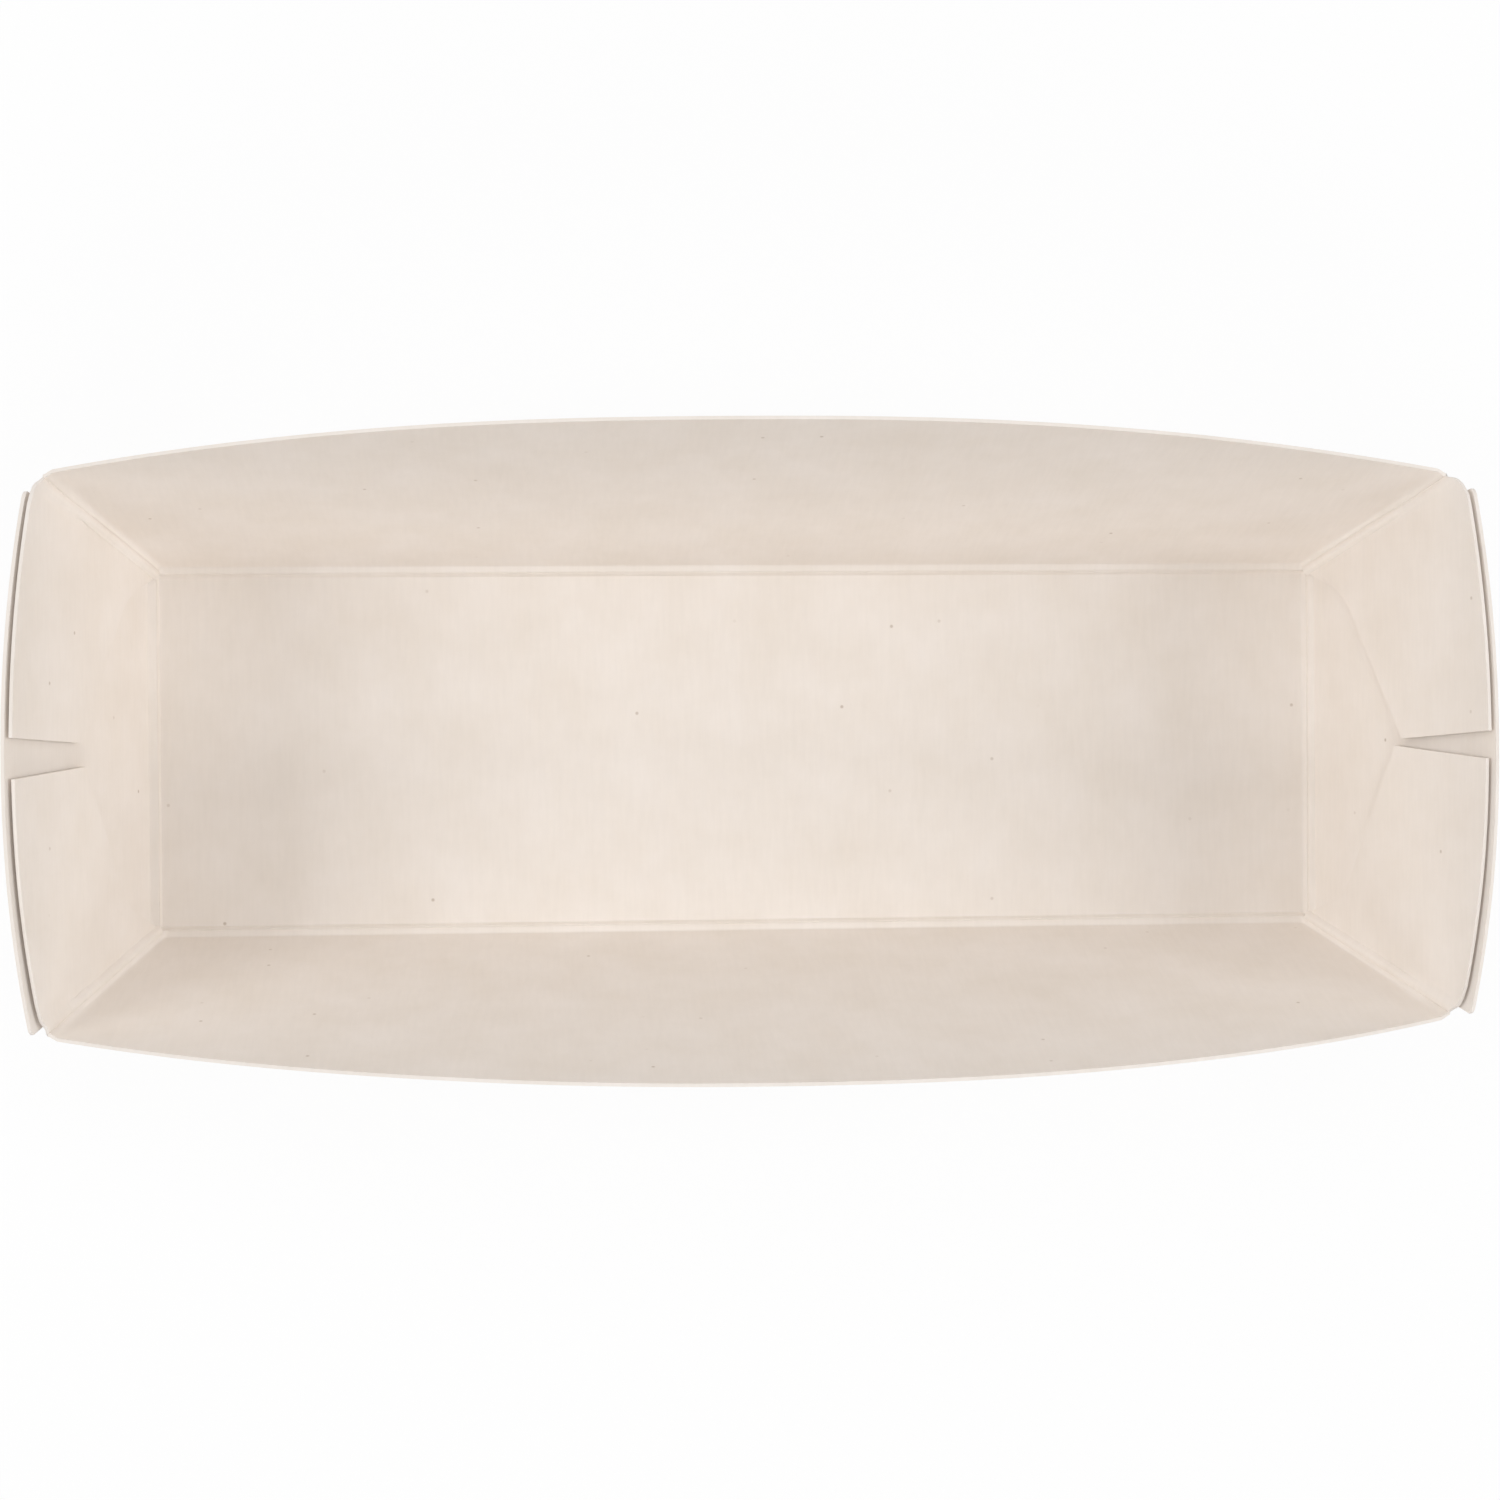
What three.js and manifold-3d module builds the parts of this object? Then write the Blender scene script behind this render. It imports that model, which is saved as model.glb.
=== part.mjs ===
// Paper food tray: one die-cut board, creased, folded up and glued at both ends.
// Millimetres, +Z up, +X along the tray. The origin is the middle of the underside.
import * as THREE from 'three';
import { mergeVertices } from 'three/addons/utils/BufferGeometryUtils.js';
import Module from 'manifold-3d';

// Board and its creases
const boardThickness = 0.4;
const beadWidth = 1.5;
const beadRise = 0.2;
const boardColour = 0xece3d6;

// Base, measured inside between its creases
const baseLength = 136;
const baseWidth = 42;

// Walls: flare is measured from upright and heights run up the slope. A rim curve of 2 is a parabola.
const flareDegrees = 17;
const sideRimHeight = 44.5;
const cornerRimHeight = 29.5;
const endRimHeight = 36.8;
const endShoulderHeight = 32;
const sideRimCurve = 2.4;
const endRimCurve = 2.1;

// End panels, which stand outside the tabs
const panelFootInset = 0.5;
const panelRimInset = 1.6;
const panelCornerRound = 1.4;

// Tabs, which turn in from the side walls and are glued inside the end panels. The front is -Y.
const tabGap = 0.12;
const backTabRimDrop = 0.2;
const frontTabRimDrop = 0.9;
const tabCornerRound = 2.8;
const tabFootHeight = 1.2;
const tabFootInset = 0.8;
const tabElbowHeight = 8.8;
const tabElbowInset = 3.6;

// Slit between the two tabs of an end
const slitFootHeight = 20;
const leftSlitRimWidth = 4.4;
const leftSlitFootWidth = 2.6;
const rightSlitRimWidth = 3;
const rightSlitFootWidth = 0.8;

// Glue film between a tab and its end panel
const glueLength = 9;
const glueWidth = 6;
const glueHeight = 21;

const rimSteps = 32;
const curveSteps = 6;

const flare = THREE.MathUtils.degToRad(flareDegrees);
const lean = Math.sin(flare);
const rise = Math.cos(flare);
const halfLength = baseLength / 2;
const halfWidth = baseWidth / 2;
const sideHalfLength = halfLength - (boardThickness + tabGap) / rise;
const sideRimHalfLength = sideHalfLength + cornerRimHeight * lean;
const rimCorner = new THREE.Vector2(halfWidth + cornerRimHeight * lean, cornerRimHeight);
const panelRimHalfWidth = halfWidth + endShoulderHeight * lean - panelRimInset;

const wasm = await Module();
wasm.setup();

function point(x, y) {
  return new THREE.Vector2(x, y);
}

// A rim bows up from its ends to its middle, near to a shallow parabola.
function rimLevel(x, halfSpan, middle, end, curve) {
  return middle - (middle - end) * Math.abs(x / halfSpan) ** curve;
}

function endRimLevel(x) {
  return rimLevel(x, panelRimHalfWidth, endRimHeight, endShoulderHeight, endRimCurve);
}

function alongRim(from, to, level) {
  const points = [];
  for (let i = 0; i <= rimSteps; i += 1) {
    const x = from + ((to - from) * i) / rimSteps;
    points.push(point(x, level(x)));
  }
  return points;
}

function rounded(start, corner, end) {
  return new THREE.QuadraticBezierCurve(start, corner, end).getPoints(curveSteps);
}

function mirrored(points) {
  return points.map((p) => point(-p.x, p.y));
}

function sideWallOutline() {
  const level = (x) => rimLevel(x, sideRimHalfLength, sideRimHeight, cornerRimHeight, sideRimCurve);
  return [
    point(-sideHalfLength, 0),
    point(sideHalfLength, 0),
    ...alongRim(sideRimHalfLength, -sideRimHalfLength, level),
  ];
}

// The side edges stand inside the corners, and their upper corners are rounded.
function endPanelOutline() {
  const foot = point(halfWidth - panelFootInset, 0);
  const shoulder = point(panelRimHalfWidth, endShoulderHeight);
  const sideEdge = shoulder.clone().sub(foot).setLength(panelCornerRound);
  const roundStart = shoulder.clone().sub(sideEdge);
  const rimEnd = shoulder.x - panelCornerRound;
  const roundEnd = point(rimEnd, endRimLevel(rimEnd));
  const halfRim = [...rounded(roundStart, shoulder, roundEnd), ...alongRim(rimEnd, 0, endRimLevel).slice(1)];
  const otherHalf = mirrored(halfRim).reverse().slice(1);
  return [point(-foot.x, 0), foot, ...halfRim, ...otherHalf];
}

// The lower edge climbs steeply from the base corner, then runs slanting to the slit.
function tabOutline(slitRimHalf, slitFootHalf, rimDrop) {
  const foot = point(halfWidth + tabFootHeight * lean, tabFootHeight);
  const relief = point(halfWidth - tabFootInset, tabFootHeight);
  const elbow = point(halfWidth - tabElbowInset, tabElbowHeight);
  const elbowEnd = elbow.clone().lerp(point(slitFootHalf, slitFootHeight), 0.1);
  const elbowStart = elbow.clone().lerp(relief, 0.3);
  const level = (x) => endRimLevel(x) - rimDrop;
  const rimStart = rimCorner.x - tabCornerRound;
  const shoulder = point(rimCorner.x - tabCornerRound / 3, level(rimCorner.x));
  return [
    foot,
    ...rounded(rimCorner, shoulder, point(rimStart, level(rimStart))),
    ...alongRim(rimStart, slitRimHalf, level).slice(1),
    point(slitFootHalf, slitFootHeight),
    ...rounded(elbowEnd, elbow, elbowStart),
    relief,
  ];
}

function glueOutline() {
  const middle = (halfWidth + slitFootHeight * lean) / 2;
  return [
    point(middle - glueLength / 2, glueHeight),
    point(middle + glueLength / 2, glueHeight),
    point(middle + glueLength / 2, glueHeight + glueWidth),
    point(middle - glueLength / 2, glueHeight + glueWidth),
  ];
}

// A closed geometry becomes a solid that can be joined to others.
function solidOf(geometry) {
  geometry.deleteAttribute('normal');
  geometry.deleteAttribute('uv');
  const merged = mergeVertices(geometry, 1e-5);
  return new wasm.Manifold(new wasm.Mesh({
    numProp: 3,
    vertProperties: merged.attributes.position.array,
    triVerts: Uint32Array.from(merged.index.array),
  }));
}

function geometryOf(solid) {
  const mesh = solid.getMesh();
  const geometry = new THREE.BufferGeometry();
  geometry.setAttribute('position', new THREE.Float32BufferAttribute(mesh.vertProperties, 3));
  geometry.setIndex([...mesh.triVerts]);
  geometry.computeVertexNormals();
  return geometry;
}

// A panel is drawn flat, x along its crease and y up its slope, and folded to its place.
function foldedPanel(outline, hinge, panel, depth = boardThickness) {
  const geometry = new THREE.ExtrudeGeometry(new THREE.Shape(outline), { depth, bevelEnabled: false });
  const along = new THREE.Vector3().crossVectors(panel.up, panel.out);
  const place = new THREE.Matrix4().makeBasis(along, panel.up, panel.out).setPosition(hinge);
  return solidOf(geometry.applyMatrix4(place));
}

// Outside, a crease bends the board round. Inside, it raises a bead across the fold.
function crease(from, to, first, second) {
  const axis = to.clone().sub(from);
  const length = axis.length();
  axis.normalize();
  const inward = first.out.clone().add(second.out).normalize().negate();
  const across = new THREE.Vector3().crossVectors(axis, inward);
  const flat = (vector) => point(vector.dot(inward), vector.dot(across));
  const foot = (panel) => flat(panel.up).multiplyScalar(beadWidth / 2);
  const sunk = (panel) => foot(panel).addScaledVector(flat(panel.out), boardThickness / 2);
  const lift = point((beadRise * 4) / 3, 0);
  const shoulder = (panel, other) => foot(panel).lerp(foot(other), 0.25).add(lift);
  const bead = new THREE.CubicBezierCurve(
    foot(first),
    shoulder(first, second),
    shoulder(second, first),
    foot(second),
  ).getPoints(curveSteps + 2);
  const turn = (panel) => (flat(panel.out).angle() + Math.PI * 2) % (Math.PI * 2);
  const bend = new THREE.EllipseCurve(
    0,
    0,
    boardThickness,
    boardThickness,
    turn(second),
    turn(first),
    turn(second) > turn(first),
  ).getPoints(curveSteps);
  const section = [...bead, sunk(second), ...bend, sunk(first)];
  const geometry = new THREE.ExtrudeGeometry(new THREE.Shape(section), { depth: length, bevelEnabled: false });
  const place = new THREE.Matrix4().makeBasis(inward, across, axis).setPosition(from);
  return solidOf(geometry.applyMatrix4(place));
}

// Each panel has the direction up its slope from the crease and its outer normal.
const basePanel = { up: new THREE.Vector3(0, 1, 0), out: new THREE.Vector3(0, 0, -1) };
const sidePanel = (y) => ({ up: new THREE.Vector3(0, y * lean, rise), out: new THREE.Vector3(0, y * rise, -lean) });
const endPanel = (x) => ({ up: new THREE.Vector3(x * lean, 0, rise), out: new THREE.Vector3(x * rise, 0, -lean) });
const inBase = (x, y) => ({ up: new THREE.Vector3(x, y, 0), out: basePanel.out });
const onBase = (x, y) => new THREE.Vector3(x, y, boardThickness);

function baseOutline() {
  return [
    point(-halfLength, -halfWidth),
    point(halfLength, -halfWidth),
    point(halfLength, halfWidth),
    point(-halfLength, halfWidth),
  ];
}

function sideWall(y) {
  const hinge = onBase(0, y * halfWidth);
  const from = onBase(-sideHalfLength, y * halfWidth);
  const to = onBase(sideHalfLength, y * halfWidth);
  return [
    foldedPanel(sideWallOutline(), hinge, sidePanel(y)),
    crease(from, to, inBase(0, -y), sidePanel(y)),
  ];
}

function endWall(x) {
  const reach = halfWidth - panelFootInset;
  return [
    foldedPanel(endPanelOutline(), onBase(x * halfLength, 0), endPanel(x)),
    crease(onBase(x * halfLength, -reach), onBase(x * halfLength, reach), inBase(-x, 0), endPanel(x)),
  ];
}

// The corner crease lies where the inner faces of a side wall and its tab meet.
function cornerCrease(x, y) {
  const from = onBase(x * sideHalfLength, y * halfWidth);
  const edge = new THREE.Vector3(x * lean, y * lean, rise);
  const to = from.clone().addScaledVector(edge, cornerRimHeight);
  const axis = edge.clone().normalize();
  const awayFrom = (panel, towards) => {
    const up = new THREE.Vector3().crossVectors(axis, panel.out).normalize();
    return { up: up.dot(towards) > 0 ? up : up.negate(), out: panel.out };
  };
  const wall = awayFrom(sidePanel(y), new THREE.Vector3(-x, 0, 0));
  const tab = awayFrom(endPanel(x), new THREE.Vector3(0, -y, 0));
  return crease(from, to, wall, tab);
}

function tab(x, y) {
  const slitRimWidth = x < 0 ? leftSlitRimWidth : rightSlitRimWidth;
  const slitFootWidth = x < 0 ? leftSlitFootWidth : rightSlitFootWidth;
  const rimDrop = y > 0 ? backTabRimDrop : frontTabRimDrop;
  const outline = tabOutline(slitRimWidth / 2, slitFootWidth / 2, rimDrop);
  const place = (points) => (x * y > 0 ? points : mirrored(points));
  const hinge = onBase(x * sideHalfLength, 0);
  const overlap = boardThickness / 3;
  const glueHinge = hinge.clone().addScaledVector(endPanel(x).out, boardThickness - overlap);
  return [
    foldedPanel(place(outline), hinge, endPanel(x)),
    foldedPanel(place(glueOutline()), glueHinge, endPanel(x), tabGap + overlap * 2),
    cornerCrease(x, y),
  ];
}

function foldedBoard() {
  const base = foldedPanel(baseOutline(), onBase(0, 0), basePanel);
  const pieces = [base];
  for (const y of [-1, 1]) {
    pieces.push(...sideWall(y));
  }
  for (const x of [-1, 1]) {
    pieces.push(...endWall(x), ...tab(x, -1), ...tab(x, 1));
  }
  return pieces.reduce((joined, piece) => joined.add(piece));
}

const board = new THREE.MeshStandardMaterial({ color: boardColour, roughness: 0.9, metalness: 0 });
const tray = new THREE.Mesh(geometryOf(foldedBoard()), board);
tray.name = 'tray';

const model = new THREE.Group();
model.add(tray);

export default model;
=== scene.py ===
import itertools
import math

import bpy
from mathutils import Euler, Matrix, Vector, noise


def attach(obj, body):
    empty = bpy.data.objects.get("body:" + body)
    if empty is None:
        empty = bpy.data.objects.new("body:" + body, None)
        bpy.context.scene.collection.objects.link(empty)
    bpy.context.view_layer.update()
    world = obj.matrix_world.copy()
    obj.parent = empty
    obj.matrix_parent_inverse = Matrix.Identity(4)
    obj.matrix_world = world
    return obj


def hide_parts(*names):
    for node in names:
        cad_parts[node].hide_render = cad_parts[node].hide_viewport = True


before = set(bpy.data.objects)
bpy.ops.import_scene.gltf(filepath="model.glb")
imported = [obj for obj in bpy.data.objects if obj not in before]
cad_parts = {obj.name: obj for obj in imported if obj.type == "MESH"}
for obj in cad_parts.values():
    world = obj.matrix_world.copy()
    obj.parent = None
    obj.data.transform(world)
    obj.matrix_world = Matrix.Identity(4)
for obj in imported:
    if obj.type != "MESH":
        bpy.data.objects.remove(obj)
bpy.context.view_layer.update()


def mm(value):
    return value * 0.001


# The folded board. The base is measured inside, and heights run up a wall's slope.
BOARD = mm(0.4)
BASE_HALF_LENGTH = mm(68)
BASE_HALF_WIDTH = mm(21)
FLARE = math.radians(17)
SIDE_RIM_HEIGHT = mm(44.5)
CORNER_RIM_HEIGHT = mm(29.5)
END_RIM_HEIGHT = mm(36.8)
END_SHOULDER_HEIGHT = mm(32)
PANEL_FOOT_INSET = mm(0.5)
PANEL_RIM_INSET = mm(1.6)
PANEL_CORNER_ROUND = mm(0.8)
TAB_GAP = mm(0.02)
TAB_CORNER_ROUND = mm(2.8)
TAB_FOOT_HEIGHT = mm(1.0)
TAB_FOOT_INSET = mm(0.8)
TAB_ELBOW_HEIGHT = mm(8.8)
TAB_ELBOW_INSET = mm(3.6)

# A tab's elbow is rounded from this share of the way to it up to this share of the way on to the slit
TAB_ELBOW_START = 0.7
TAB_ELBOW_END = 0.1

# A rim falls from its middle by this power of the distance, where 2 is a parabola. A side rim falls a
# little sooner on its right, seen from inside the tray, so its left and right halves have a power each.
SIDE_RIM_POWERS = (2.4, 2.15)
END_RIM_POWER = 2.1

# An end panel's rim was cut this far towards the front, -Y
PANEL_RIM_SHIFT = mm(0.8)

# In these tables, an end is -1 on the left and 1 on the right, and a side is -1 in front and 1 at the back.
# The four shoulders of the end panels differ a little in height.
SHOULDER_HEIGHTS = {(-1, 1): mm(31.4), (-1, -1): mm(30.9), (1, 1): mm(32.7), (1, -1): mm(31.9)}

# Each tab's edge at the slit: its distance from the middle at the rim and at its foot, and the foot's
# height
SLIT_EDGES = {
    (-1, 1): (mm(1.9), mm(1.3), mm(20.5)),
    (-1, -1): (mm(2.4), mm(1.3), mm(19.4)),
    (1, 1): (mm(1.5), mm(0.6), mm(20.6)),
    (1, -1): (mm(1.5), mm(0.2), mm(19.1)),
}

# How far an end panel's rim stands above a tab's, by side, and how far its shoulder stands off the tab
TAB_RIM_DROPS = {-1: mm(0.55), 1: mm(0.05)}
SHOULDER_GAPS = {(-1, 1): mm(0.0), (-1, -1): mm(0.05), (1, 1): mm(0.15), (1, -1): mm(0.05)}

# The bead that creasing raises along a fold. The two end creases differ.
BASE_BEAD_REACH = mm(0.85)
WALL_BEAD_REACH = mm(1.15)
BEAD_HEIGHT = mm(0.78)
END_BEAD_HEIGHTS = {-1: mm(1.0), 1: mm(0.6)}

# From this share of a corner crease up to the rim, the bead spreads and sinks by up to the second share
RIM_FOLD_START = 0.6
RIM_FOLD_OPENING = 0.4

# What folding and handling bend: the side walls bow out, the base is crowned, and all but the floor
# warps, from nothing at the floor to the full amount at the play height. Without a seed, Blender starts
# the warp's noise from the time of day.
SIDE_BOW = mm(0.1)
BASE_CROWN = mm(0.25)
WARP = mm(0.12)
WARP_LENGTH = mm(38)
WARP_SEED = 1
PLAY_HEIGHT = mm(4)

# Faces that meet more sharply than this show a crisp edge
CUT_EDGE_ANGLE = math.radians(60)

# Distances from a crease, and from a rim, at which the board's grid has a row
CREASE_ROWS = [mm(d) for d in (0.2, 0.4, 0.6, 0.75, 0.85, 1.0, 1.15, 1.3, 1.8, 2.6, 4.0)]
RIM_ROWS = [mm(d) for d in (0.3, 1.2)]

# Steps of the grid between those rows
SIDE_STEPS = 64
WALL_STEPS = 18
BASE_STEPS = 24
BASE_END_STEPS = 4
TAB_STEPS = 22
TAB_RIM_STEPS = 20
ROUND_STEPS = 8

# The width that spaces a tab's rows, and the rounds that settle a side rim's height over a column
TAB_ROW_WIDTH = mm(28)
RIM_ROUNDS = 12

# Leeway for rounding, on the grid in metres and along a path
GRID_LEEWAY = mm(0.01)
PATH_LEEWAY = 1e-12

# Grid points of two panels are one point of the sheet where they lie this close. The nudges find a point
# that rounding has put in the next cell.
WELD_CELL = mm(0.001)
WELD_NUDGES = list(itertools.product((mm(-0.0001), mm(0.0001)), repeat=3))

# The pulp's marks. Single fibres are too fine to show, so a streak is a bundle of them.
CLOUD_SIZE = mm(9)
STREAK_WIDTH = mm(0.55)
STREAK_LENGTH = mm(4.5)
STREAK_RELIEF = mm(0.03)
SPECK_SPACING = mm(6)

# A speck's core and its edge, as shares of the spacing, the share of places that stay without a speck,
# and how strongly the darkest one shows
SPECK_CORE = 0.018
SPECK_EDGE = 0.042
SPECK_FREE = 0.88
SPECK_STRENGTH = 0.45

# How much of the table's look is plain white. The rest shows the shadow.
TABLE_WHITENESS = 0.92
TABLE_HALF_WIDTH = 3.0

# Each soft lamp's angle round the tray from +X, its angle above the table, and its power in watts
SOFTBOXES = {
    "left_softbox": (180, 40, 3.2),
    "right_softbox": (0, 40, 2.75),
    "low_right_softbox": (0, 20, 1.05),
    "front_softbox": (270, 40, 2.45),
    "back_softbox": (135, 40, 0.8),
    "low_back_softbox": (90, 20, 0.9),
    "high_back_softbox": (90, 65, 1.2),
}
SOFTBOX_SIZE = 0.4
WORLD_LIGHT = 0.3

# The camera, from the picture's perspective. The picture is 1500 pixels wide.
PHOTO_WIDTH = 1500
FOCAL_PIXELS = 2900.2
SENSOR_WIDTH = 36
NEAR_CLIP = mm(10)
CAMERA_PLACE = Vector((mm(-25.31), mm(2.96), mm(339.44) + BOARD))
CAMERA_TURN = Euler([math.radians(angle) for angle in (-0.512, -4.459, -0.444)])

LEAN = math.sin(FLARE)
RISE = math.cos(FLARE)
SIDE_HALF_LENGTH = BASE_HALF_LENGTH - (BOARD + TAB_GAP) / RISE
PANEL_RIM_HALF = BASE_HALF_WIDTH + END_SHOULDER_HEIGHT * LEAN - PANEL_RIM_INSET
UPRIGHT = Vector((0, 0, 1))


def rim_level(x, half_span, middle, end, power):
    return middle - (middle - end) * abs(x / half_span) ** power


def end_rim(end, side, x):
    return rim_level(x, PANEL_RIM_HALF, END_RIM_HEIGHT, SHOULDER_HEIGHTS[end, side], END_RIM_POWER)


def side_rim(x):
    half_span = SIDE_HALF_LENGTH + CORNER_RIM_HEIGHT * LEAN
    power = SIDE_RIM_POWERS[1 if x > 0 else 0]
    return rim_level(x, half_span, SIDE_RIM_HEIGHT, CORNER_RIM_HEIGHT, power)


def panel_rim(end, x):
    """The end panel's rim, rounded down at its two corners."""
    past = max(0.0, abs(x) - PANEL_RIM_HALF + PANEL_CORNER_ROUND)
    rounding = PANEL_CORNER_ROUND - math.sqrt(max(0.0, PANEL_CORNER_ROUND**2 - past**2))
    return end_rim(end, -end if x > 0 else end, x) - rounding


def between(start, end, steps):
    """Evenly spaced values between two ends, which are left out."""
    return [start + (end - start) * i / steps for i in range(1, steps)]


def smooth(value):
    """An even rise from 0 to 1, flat at both ends."""
    value = min(1.0, max(0.0, value))
    return value * value * (3 - 2 * value)


class Crease:
    """A fold between two panels, from start to end, and the way its bead rises."""

    def __init__(self, start, end, first_inward, second_inward, height=BEAD_HEIGHT, opening=0.0):
        self.start = start
        self.length = (end - start).length
        self.axis = (end - start) / self.length
        self.rise = (first_inward + second_inward).normalized()
        self.height = height
        self.opening = opening

    def bead(self, place, inward, reach):
        """The bead's share at a place, from 0 to 1, and its lift there."""
        along = min(self.length, max(0.0, (place - self.start).dot(self.axis)))
        distance = (place - self.start - self.axis * along).length
        towards_rim = (along / self.length - RIM_FOLD_START) / (1 - RIM_FOLD_START)
        opened = self.opening * smooth(towards_rim)
        reach *= 1 + opened
        if distance >= reach:
            return 0.0, Vector()
        share = 1 - (distance / reach) ** 2
        lift = self.rise.lerp(inward, distance / reach).normalized()
        return share, lift * share * self.height * (1 - opened)


class Panel:
    """A flat panel with x along its crease and y up its slope, seen from inside the tray."""

    def __init__(self, hinge, along, up, bead_reach=WALL_BEAD_REACH):
        self.hinge = hinge
        self.along = along
        self.up = up
        self.inward = along.cross(up)
        self.creases = []
        self.bead_reach = bead_reach

    def place(self, x, y):
        return self.hinge + self.along * x + self.up * y

    def relief(self, place):
        """The lift of all beads at a place. Where they meet, they blend instead of adding up."""
        beads = [crease.bead(place, self.inward, self.bead_reach) for crease in self.creases]
        total = sum(share for share, lift in beads)
        return sum((lift for share, lift in beads), Vector()) / max(1.0, total)


class Board:
    """One sheet, gathered from the grids of its panels and joined where they share a crease."""

    def __init__(self):
        self.index = {}
        self.places = []
        self.shifts = []
        self.counts = []
        self.faces = []
        self.blank = []

    def vertex(self, place, shift):
        """The number of the sheet's point at a place, which is made where there is none yet."""
        keys = [
            tuple(round((c + d) / WELD_CELL) for c, d in zip(place, nudge))
            for nudge in WELD_NUDGES
        ]
        number = next((self.index[key] for key in keys if key in self.index), None)
        if number is None:
            number = len(self.places)
            self.index.update((key, number) for key in keys)
            self.places.append(place)
            self.shifts.append(Vector())
            self.counts.append(0)
        self.shifts[number] += shift
        self.counts[number] += 1
        return number

    def add(self, panel, grid, shape, flat, flip):
        """Adds a grid of (x, y) points, bent by shape and drawn on the blank by flat."""
        rows = []
        for line in grid:
            row = []
            for x, y in line:
                place = panel.place(x, y)
                shift = panel.relief(place) + shape(x, y, place)
                row.append((self.vertex(place, shift), flat(x, y)))
            rows.append(row)
        for low, high in zip(rows, rows[1:]):
            for i in range(len(low) - 1):
                corners = [low[i], low[i + 1], high[i + 1], high[i]]
                if flip:
                    corners.reverse()
                self.faces.append([number for number, uv in corners])
                self.blank.extend(uv for number, uv in corners)

    def mesh(self, name):
        """The sheet as a mesh. A point that panels share takes the mean of their shifts."""
        points = [p + s / n for p, s, n in zip(self.places, self.shifts, self.counts)]
        mesh = bpy.data.meshes.new(name)
        mesh.from_pydata(points, [], self.faces)
        layer = mesh.uv_layers.new(name="blank")
        for loop, uv in zip(layer.data, self.blank):
            loop.uv = uv
        return mesh


def warp(place):
    """A slow wave through the whole board, which fades out towards the floor."""
    play = smooth((place.z - BOARD) / PLAY_HEIGHT)
    return noise.noise_vector(place / WARP_LENGTH) * WARP * play


def side_columns():
    """Each column is a share of the wall's half length there, and a distance in from its end."""
    ends = [(-1, 0.0)] + [(-1, d) for d in CREASE_ROWS]
    middle = [(share, CREASE_ROWS[-1]) for share in between(-1, 1, SIDE_STEPS)]
    return ends + middle + [(1, d) for d in reversed(CREASE_ROWS)] + [(1, 0.0)]


def side_rows():
    """Each row is the part of the wall that it belongs to and its place there, for level."""
    rows = [("crease", 0.0)] + [("crease", d) for d in CREASE_ROWS]
    rows += [("wall", share) for share in between(0, 1, WALL_STEPS)]
    rows.append(("wall", 1.0))
    return rows + [("rim", RIM_ROWS[0]), ("rim", 0.0)]


def level(row, rim):
    """How far up the slope a row lies where the rim has a given height."""
    kind, amount = row
    low = CREASE_ROWS[-1]
    high = rim - RIM_ROWS[-1]
    return {"crease": amount, "wall": low + (high - low) * amount, "rim": rim - amount}[kind]


def side_point(column, row):
    share, inset = column
    rim = SIDE_RIM_HEIGHT
    for _ in range(RIM_ROUNDS):
        rim = side_rim(share * (SIDE_HALF_LENGTH + rim * LEAN - inset))
    y = level(row, rim)
    return share * (SIDE_HALF_LENGTH + y * LEAN - inset), y


SIDE_GRID = [[side_point(column, row) for column in side_columns()] for row in side_rows()]
CORNER_LEVELS = [line[-1][1] for line in SIDE_GRID]


def base_grid():
    """The base's grid, whose columns meet those of the side walls."""
    ends = between(SIDE_HALF_LENGTH, BASE_HALF_LENGTH, BASE_END_STEPS) + [BASE_HALF_LENGTH]
    columns = [-x for x in reversed(ends)] + [x for x, y in SIDE_GRID[0]] + ends
    edge = [BASE_HALF_WIDTH - d for d in [0.0] + CREASE_ROWS]
    rows = [-y for y in edge] + between(-edge[-1], edge[-1], BASE_STEPS) + edge[::-1]
    return [[(x, y) for x in columns] for y in rows]


def end_grid(end):
    """An end panel's grid, whose columns start from the base's rows."""
    foot_half = BASE_HALF_WIDTH - PANEL_FOOT_INSET
    feet = [line[0][1] for line in base_grid() if abs(line[0][1]) <= foot_half + GRID_LEEWAY]
    grid = []
    for row in side_rows():
        line = []
        for foot in feet:
            x = foot * PANEL_RIM_HALF / foot_half
            rim = panel_rim(end, x)
            y = level(row, rim)
            moved = x + end * PANEL_RIM_SHIFT * abs(x) / PANEL_RIM_HALF
            line.append((foot + (moved - foot) * y / rim, y))
        grid.append(line)
    return grid


def along_path(points, shares):
    """Points at given shares of a path's length."""
    lengths = [0.0]
    for start, end in zip(points, points[1:]):
        lengths.append(lengths[-1] + (end - start).length)
    found = []
    for share in shares:
        target = share * lengths[-1]
        i = max(k for k in range(len(points) - 1) if lengths[k] <= target + PATH_LEEWAY)
        part = (target - lengths[i]) / (lengths[i + 1] - lengths[i])
        found.append(points[i].lerp(points[i + 1], part))
    return found


def rounded(start, corner, end):
    """A rounded corner, from start to end."""
    shares = [i / ROUND_STEPS for i in range(ROUND_STEPS + 1)]
    return [start.lerp(corner, t).lerp(corner.lerp(end, t), t) for t in shares]


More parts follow.
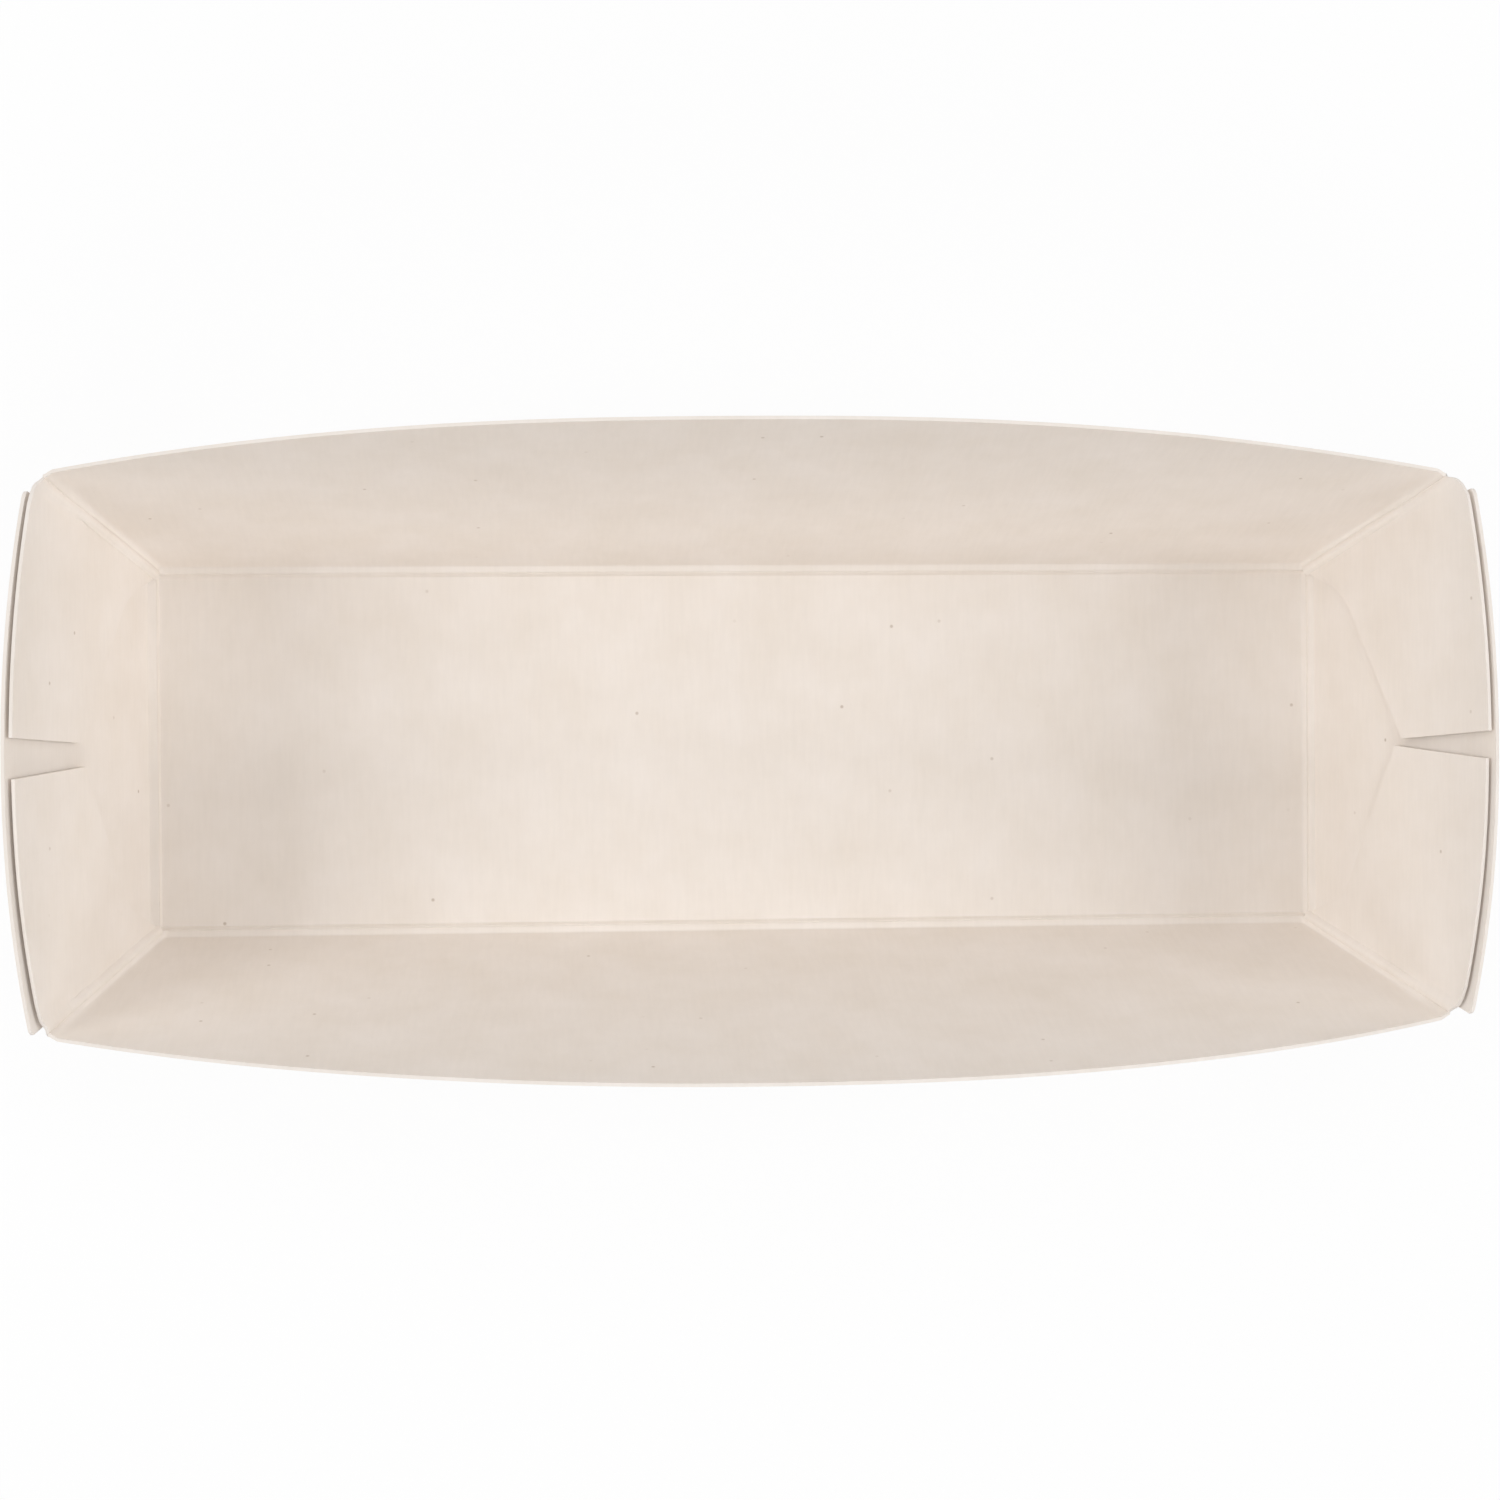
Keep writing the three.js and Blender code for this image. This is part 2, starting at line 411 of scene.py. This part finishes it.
def tab_edges(end, side, crease):
    """A tab's rim and its lower edge, each from the corner crease to the slit."""
    slit_rim, slit_foot, foot_height = SLIT_EDGES[end, side]

    def rim_y(x):
        return end_rim(end, side, x) - TAB_RIM_DROPS[side]

    rim_corner = crease[-1]
    turn = rim_corner.x - TAB_CORNER_ROUND
    shoulder = Vector((rim_corner.x - TAB_CORNER_ROUND / 3, rim_y(rim_corner.x)))
    rim = rounded(rim_corner, shoulder, Vector((turn, rim_y(turn))))
    rim += [Vector((x, rim_y(x))) for x in between(turn, slit_rim, TAB_RIM_STEPS) + [slit_rim]]

    foot = Vector((BASE_HALF_WIDTH - TAB_FOOT_INSET, crease[0].y))
    elbow = Vector((BASE_HALF_WIDTH - TAB_ELBOW_INSET, TAB_ELBOW_HEIGHT))
    slit_end = Vector((slit_foot, foot_height))
    bend = rounded(foot.lerp(elbow, TAB_ELBOW_START), elbow, elbow.lerp(slit_end, TAB_ELBOW_END))
    return rim, [crease[0], foot] + bend + [slit_end]


def tab_grid(end, side):
    """A tab's grid, from the corner crease to the slit and from the lower edge to the rim."""
    levels = [y for y in CORNER_LEVELS if y >= TAB_FOOT_HEIGHT - GRID_LEEWAY]
    crease = [Vector((BASE_HALF_WIDTH + y * LEAN, y)) for y in levels]
    rim, lower = tab_edges(end, side, crease)
    across = [0.0] + [d / TAB_ROW_WIDTH for d in CREASE_ROWS]
    across += between(across[-1], 1.0, TAB_STEPS) + [1.0]
    upward = [(y - levels[0]) / (levels[-1] - levels[0]) for y in levels]
    bottom = along_path(lower, across)
    top = along_path(rim, across)
    slit = along_path([lower[-1], rim[-1]], upward)
    grid = []
    for j, v in enumerate(upward):
        line = []
        for i, u in enumerate(across):
            sides = crease[j].lerp(slit[j], u)
            ends = bottom[i].lerp(top[i], v)
            corners = bottom[0].lerp(bottom[-1], u).lerp(top[0].lerp(top[-1], u), v)
            line.append(tuple(sides + ends - corners))
        grid.append(line)
    return grid


def side_panel(side):
    return Panel(
        Vector((0, side * BASE_HALF_WIDTH, BOARD)),
        Vector((side, 0, 0)),
        Vector((0, side * LEAN, RISE)),
    )


def end_panel(end, half_length):
    """An end panel, or a tab, whose plane lies the board's thickness and the tab gap further in."""
    return Panel(
        Vector((end * half_length, 0, BOARD)),
        Vector((0, -end, 0)),
        Vector((end * LEAN, 0, RISE)),
    )


def crease_panels(base, sides, ends, tabs):
    """Gives every panel the creases that it folds along."""
    for side, wall in sides.items():
        start = Vector((-SIDE_HALF_LENGTH, side * BASE_HALF_WIDTH, BOARD))
        end = Vector((SIDE_HALF_LENGTH, side * BASE_HALF_WIDTH, BOARD))
        fold = Crease(start, end, base.inward, wall.inward)
        base.creases.append(fold)
        wall.creases.append(fold)
    for end, panel in ends.items():
        reach = BASE_HALF_WIDTH - PANEL_FOOT_INSET
        fold = Crease(
            Vector((end * BASE_HALF_LENGTH, -reach, BOARD)),
            Vector((end * BASE_HALF_LENGTH, reach, BOARD)),
            base.inward,
            panel.inward,
            END_BEAD_HEIGHTS[end],
        )
        base.creases.append(fold)
        panel.creases.append(fold)
    for (end, side), tab in tabs.items():
        foot = Vector((end * SIDE_HALF_LENGTH, side * BASE_HALF_WIDTH, BOARD))
        edge = Vector((end * LEAN, side * LEAN, RISE))
        top = foot + edge * CORNER_RIM_HEIGHT
        fold = Crease(foot, top, sides[side].inward, tab.inward, opening=RIM_FOLD_OPENING)
        sides[side].creases.append(fold)
        tab.creases.append(fold)


def folded_board():
    """The whole sheet: base, side walls, end panels and tabs, each with its place on the flat blank."""
    board = Board()
    base = Panel(Vector((0, 0, BOARD)), Vector((1, 0, 0)), Vector((0, 1, 0)), BASE_BEAD_REACH)
    sides = {side: side_panel(side) for side in (-1, 1)}
    ends = {end: end_panel(end, BASE_HALF_LENGTH) for end in (-1, 1)}
    tabs = {(e, s): end_panel(e, SIDE_HALF_LENGTH) for e in (-1, 1) for s in (-1, 1)}
    crease_panels(base, sides, ends, tabs)

    def crown(x, y, place):
        share = (1 - (x / BASE_HALF_LENGTH) ** 2) * (1 - (y / BASE_HALF_WIDTH) ** 2)
        return UPRIGHT * BASE_CROWN * max(0.0, share)

    board.add(base, base_grid(), crown, lambda x, y: (x, y), False)

    for side, wall in sides.items():

        def bow(x, y, place):
            half = SIDE_HALF_LENGTH + y * LEAN
            share = (1 - (x / half) ** 2) * y / SIDE_RIM_HEIGHT
            return wall.inward * -SIDE_BOW * share + warp(place)

        def flat(x, y):
            return (side * x, side * (BASE_HALF_WIDTH + y))

        board.add(wall, SIDE_GRID, bow, flat, False)

    for end, panel in ends.items():

        def stand_off(x, y, place):
            side = -end if x > 0 else end
            gap = SHOULDER_GAPS[end, side] * (x / PANEL_RIM_HALF) ** 2
            return panel.inward * -gap * smooth(y / END_SHOULDER_HEIGHT) + warp(place)

        def flat(x, y):
            return (end * (BASE_HALF_LENGTH + y), -end * x)

        board.add(panel, end_grid(end), stand_off, flat, False)

    # A tab's faces look out of the tray, where the other panels' look in, so its thickness lies inside
    for (end, side), tab in tabs.items():
        mirror = -end * side
        grid = [[(mirror * x, y) for x, y in line] for line in tab_grid(end, side)]

        def settle(x, y, place):
            return warp(place)

        def flat(x, y):
            return (end * (BASE_HALF_LENGTH + y), side * (2 * BASE_HALF_WIDTH + abs(x)))

        board.add(tab, grid, settle, flat, mirror < 0)
    return board


def add_object(name, data):
    thing = bpy.data.objects.new(name, data)
    bpy.context.collection.objects.link(thing)
    return thing


def finished(mesh, name):
    """Gives the sheet its thickness, behind its faces, with crisp cut edges."""
    draft = add_object(name + "_draft", mesh)
    shell = draft.modifiers.new("board", "SOLIDIFY")
    shell.thickness = BOARD
    shell.offset = -1
    shell.use_even_offset = False
    graph = bpy.context.evaluated_depsgraph_get()
    solid = bpy.data.meshes.new_from_object(draft.evaluated_get(graph))
    solid.name = name
    solid.shade_smooth()
    solid.set_sharp_from_angle(angle=CUT_EDGE_ANGLE)
    bpy.data.objects.remove(draft)
    return add_object(name, solid)


def linear(code):
    """An sRGB hex colour as linear red, green, blue and alpha."""
    parts = [int(code[i:i + 2], 16) / 255 for i in (1, 3, 5)]
    return [p / 12.92 if p <= 0.04045 else ((p + 0.055) / 1.055) ** 2.4 for p in parts] + [1.0]


def add_node(tree, kind, settings=None, links=None, inputs=None):
    node = tree.nodes.new(kind)
    for name, value in (settings or {}).items():
        setattr(node, name, value)
    for name, value in (inputs or {}).items():
        node.inputs[name].default_value = value
    for name, socket in (links or {}).items():
        tree.links.new(socket, node.inputs[name])
    return node


def uncoated_board():
    """Uncoated food board from bleached pulp: matt, warm white, faintly cloudy, with fibre marks."""
    material = bpy.data.materials.new("uncoated_board")
    material.use_nodes = True
    tree = material.node_tree
    shader = tree.nodes["Principled BSDF"]
    blank = add_node(tree, "ShaderNodeUVMap", {"uv_map": "blank"}).outputs["UV"]

    # The pulp lies a little thicker in some places, which makes faint clouds
    clouds = add_node(
        tree, "ShaderNodeTexNoise", {"noise_dimensions": "2D"}, {"Vector": blank},
        {"Scale": 1 / CLOUD_SIZE, "Detail": 4.0, "Roughness": 0.6},
    )
    tint = add_node(
        tree, "ShaderNodeMix", {"data_type": "RGBA"}, {"Factor": clouds.outputs["Fac"]},
        {"A": linear("#e9e0d6"), "B": linear("#f3ece6")},
    )

    # Fibres lie across the tray and make fine streaks
    grain_space = add_node(
        tree, "ShaderNodeMapping", {}, {"Vector": blank},
        {"Scale": (1 / STREAK_WIDTH, 1 / STREAK_LENGTH, 1.0)},
    )
    grain = add_node(
        tree, "ShaderNodeTexNoise", {"noise_dimensions": "2D"}, {"Vector": grain_space.outputs[0]},
        {"Scale": 1.0, "Detail": 3.0, "Roughness": 0.55},
    )
    streak = add_node(
        tree, "ShaderNodeMapRange", {}, {"Value": grain.outputs["Fac"]},
        {"From Min": 0.3, "From Max": 0.7, "To Min": 0.988, "To Max": 1.008},
    )
    streaked = add_node(
        tree, "ShaderNodeVectorMath", {"operation": "SCALE"},
        {0: tint.outputs[2], "Scale": streak.outputs[0]},
    )

    # A few cells of the pulp hold a small brown speck
    cells = add_node(
        tree, "ShaderNodeTexVoronoi", {"voronoi_dimensions": "2D"}, {"Vector": blank},
        {"Scale": 1 / SPECK_SPACING},
    )
    choice = add_node(tree, "ShaderNodeSeparateColor", {}, {"Color": cells.outputs["Color"]})
    chosen = add_node(
        tree, "ShaderNodeMapRange", {}, {"Value": choice.outputs[0]},
        {"From Min": SPECK_FREE, "From Max": 1.0, "To Min": 0.0, "To Max": SPECK_STRENGTH},
    )
    dot = add_node(
        tree, "ShaderNodeMapRange", {}, {"Value": cells.outputs["Distance"]},
        {"From Min": SPECK_CORE, "From Max": SPECK_EDGE, "To Min": 1.0, "To Max": 0.0},
    )
    speck = add_node(
        tree, "ShaderNodeMath", {"operation": "MULTIPLY"}, {0: chosen.outputs[0], 1: dot.outputs[0]}
    )
    colour = add_node(
        tree, "ShaderNodeMix", {"data_type": "RGBA"},
        {"Factor": speck.outputs[0], "A": streaked.outputs[0]},
        {"B": linear("#94795c")},
    )
    tree.links.new(colour.outputs[2], shader.inputs["Base Color"])
    shader.inputs["Roughness"].default_value = 0.85
    shader.inputs["Specular IOR Level"].default_value = 0.3
    bump = add_node(
        tree, "ShaderNodeBump", {}, {"Height": grain.outputs["Fac"]},
        {"Strength": 0.15, "Distance": STREAK_RELIEF},
    )
    tree.links.new(bump.outputs["Normal"], shader.inputs["Normal"])
    return material


def table_top():
    """A plain white table that takes the tray's shadow and shows as white, also in reflections."""
    material = bpy.data.materials.new("white_table")
    material.use_nodes = True
    tree = material.node_tree
    tree.nodes.remove(tree.nodes["Principled BSDF"])
    rays = add_node(tree, "ShaderNodeLightPath")
    mirrored = add_node(
        tree, "ShaderNodeMath", {"operation": "MAXIMUM"},
        {0: rays.outputs["Is Glossy Ray"], 1: rays.outputs["Is Transmission Ray"]},
    )
    shown = add_node(
        tree, "ShaderNodeMath", {"operation": "MAXIMUM"},
        {0: rays.outputs["Is Camera Ray"], 1: mirrored.outputs[0]},
    )
    seen = add_node(
        tree, "ShaderNodeMath", {"operation": "MULTIPLY"}, {0: shown.outputs[0]}, {1: TABLE_WHITENESS}
    )
    paint = add_node(tree, "ShaderNodeBsdfDiffuse", inputs={"Color": linear("#f0f0f0")})
    white = add_node(tree, "ShaderNodeEmission", inputs={"Color": (1, 1, 1, 1), "Strength": 1.0})
    mix = add_node(
        tree, "ShaderNodeMixShader", {},
        {"Fac": seen.outputs[0], 1: paint.outputs[0], 2: white.outputs[0]},
    )
    tree.links.new(mix.outputs[0], tree.nodes["Material Output"].inputs["Surface"])
    return material


def table():
    half = TABLE_HALF_WIDTH
    corners = [(-half, -half, 0), (half, -half, 0), (half, half, 0), (-half, half, 0)]
    mesh = bpy.data.meshes.new("table")
    mesh.from_pydata(corners, [], [(0, 1, 2, 3)])
    mesh.materials.append(table_top())
    add_object("table", mesh)


def softbox(name, turn, height, power):
    """A soft square lamp a metre from the tray, at an angle round it and an angle above the table."""
    light = bpy.data.lights.new(name, "AREA")
    light.size = SOFTBOX_SIZE
    light.energy = power
    turn, height = math.radians(turn), math.radians(height)
    lamp = add_object(name, light)
    lamp.location = Vector(
        (math.cos(height) * math.cos(turn), math.cos(height) * math.sin(turn), math.sin(height))
    )
    lamp.rotation_euler = lamp.location.to_track_quat("Z", "Y").to_euler()


def studio():
    for name, (turn, height, power) in SOFTBOXES.items():
        softbox(name, turn, height, power)
    world = bpy.data.worlds.new("studio")
    bpy.context.scene.world = world
    world.use_nodes = True
    background = world.node_tree.nodes["Background"]
    background.inputs["Color"].default_value = (1, 1, 1, 1)
    background.inputs["Strength"].default_value = WORLD_LIGHT


def camera():
    lens = bpy.data.cameras.new("camera")
    lens.sensor_width = SENSOR_WIDTH
    lens.lens = FOCAL_PIXELS / PHOTO_WIDTH * SENSOR_WIDTH
    lens.clip_start = NEAR_CLIP
    view = add_object("camera", lens)
    view.location = CAMERA_PLACE
    view.rotation_euler = CAMERA_TURN
    bpy.context.scene.camera = view


noise.seed_set(WARP_SEED)
tray = finished(folded_board().mesh("tray_sheet"), "folded_tray")
tray.data.materials.append(uncoated_board())
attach(tray, "root")
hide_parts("tray")

table()
studio()
camera()
bpy.context.scene.view_settings.view_transform = "Standard"
